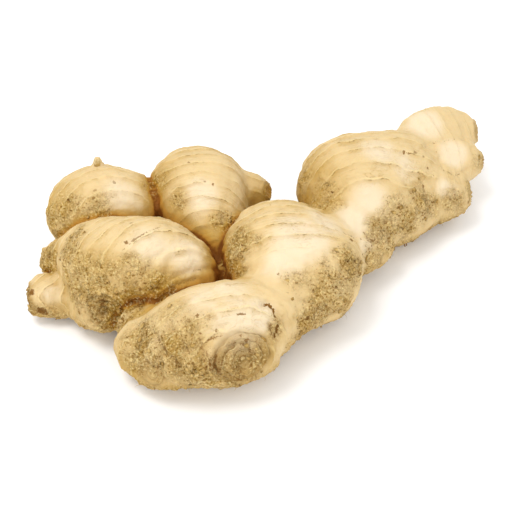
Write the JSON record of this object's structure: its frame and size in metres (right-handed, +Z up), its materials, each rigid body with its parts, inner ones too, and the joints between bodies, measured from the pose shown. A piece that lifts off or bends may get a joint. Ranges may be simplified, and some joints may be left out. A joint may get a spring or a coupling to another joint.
{
  "type": "ginger root",
  "caption": "Fresh hand of ginger root: plump knobbly lobes grown into one piece, ringed with leaf scars, with round stem scars and blunt finger tips, lying on its side.",
  "frame": {"origin": "middle of the root's footprint, on the table it lies on", "axes": "+X runs along its length towards the three finger tips, +Y towards the back of the pictured view, +Z up from the table"},
  "size_m": [0.181, 0.1444, 0.0438],
  "materials": {
    "skin": "thin papery skin, cream to tan, matt with a faint sheen"
  },
  "bodies": {
    "root": {"ginger_root": "skin"}
  },
  "joints": []
}
